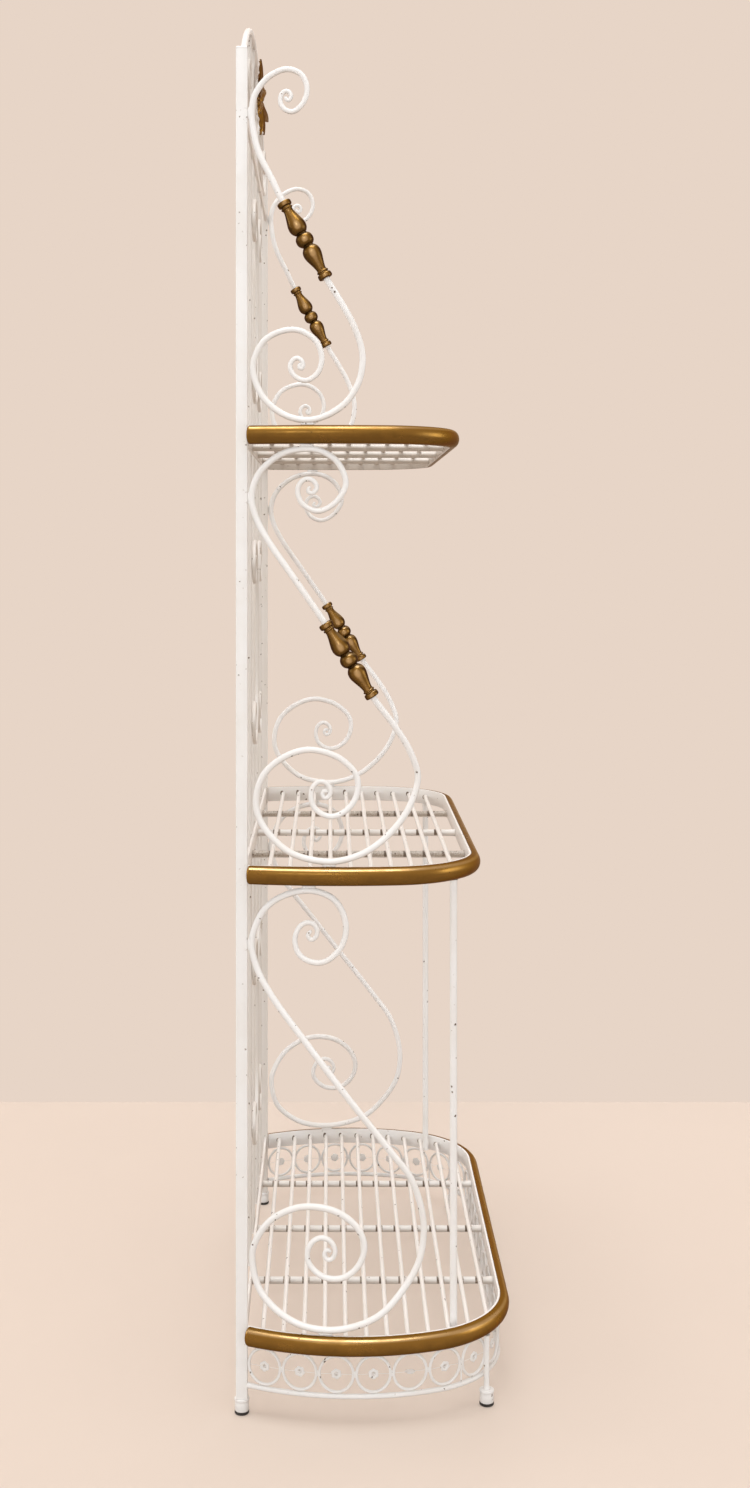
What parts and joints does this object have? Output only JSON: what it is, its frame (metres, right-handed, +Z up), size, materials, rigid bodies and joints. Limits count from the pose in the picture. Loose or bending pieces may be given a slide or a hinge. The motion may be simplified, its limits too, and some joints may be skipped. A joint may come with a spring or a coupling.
{
  "type": "bakers rack",
  "caption": "Tall open rack of painted steel rod: slatted shelves with half-round brass rims, scrolled ends, a ring apron and an arched crest.",
  "frame": {"origin": "on the floor, under the middle of the rack", "axes": "+Z up, +X along the shelves, -Y out of the open front; the back posts and back panel are at +Y"},
  "size_m": [0.915, 0.41, 2.0998],
  "materials": {
    "white_paint": "satin cream-white paint with small chips",
    "aged_brass": "aged, lacquered, darker below",
    "black_glide": "matt"
  },
  "bodies": {
    "root": {"left_post": "white_paint", "left_post_cap": "white_paint", "left_front_leg": "white_paint", "left_front_upright": "white_paint", "left_rear_cup": "white_paint", "left_front_cup": "white_paint", "left_lower_scroll": "white_paint", "left_middle_scroll": "white_paint", "left_crown_scroll": "white_paint", "left_lower_back_scroll": "white_paint", "left_middle_back_scroll": "white_paint", "left_upper_back_scroll": "white_paint", "left_crest_scroll": "white_paint", "left_rear_glide": "black_glide", "left_front_glide": "black_glide", "left_middle_baluster": "aged_brass", "left_crown_baluster": "aged_brass", "right_post": "white_paint", "right_post_cap": "white_paint", "right_front_leg": "white_paint", "right_front_upright": "white_paint", "right_rear_cup": "white_paint", "right_front_cup": "white_paint", "right_lower_scroll": "white_paint", "right_middle_scroll": "white_paint", "right_crown_scroll": "white_paint", "right_lower_back_scroll": "white_paint", "right_middle_back_scroll": "white_paint", "right_upper_back_scroll": "white_paint", "right_crest_scroll": "white_paint", "right_rear_glide": "black_glide", "right_front_glide": "black_glide", "right_middle_baluster": "aged_brass", "right_crown_baluster": "aged_brass", "bottom_shelf_band": "white_paint", "bottom_shelf_rim": "aged_brass", "bottom_shelf_grille": "white_paint", "bottom_back_rail": "white_paint", "middle_shelf_band": "white_paint", "middle_shelf_rim": "aged_brass", "middle_shelf_grille": "white_paint", "middle_back_rail": "white_paint", "top_shelf_band": "white_paint", "top_shelf_rim": "aged_brass", "top_shelf_grille": "white_paint", "top_back_rail": "white_paint", "apron_rod": "white_paint", "left_apron_rings": "white_paint", "front_apron_rings": "white_paint", "right_apron_rings": "white_paint", "back_bar_1": "white_paint", "back_bar_2": "white_paint", "back_bar_3": "white_paint", "back_bar_4": "white_paint", "back_bar_5": "white_paint", "crest_rail": "white_paint", "crest_arch": "white_paint", "crest_leaf_cluster": "aged_brass"}
  },
  "joints": []
}
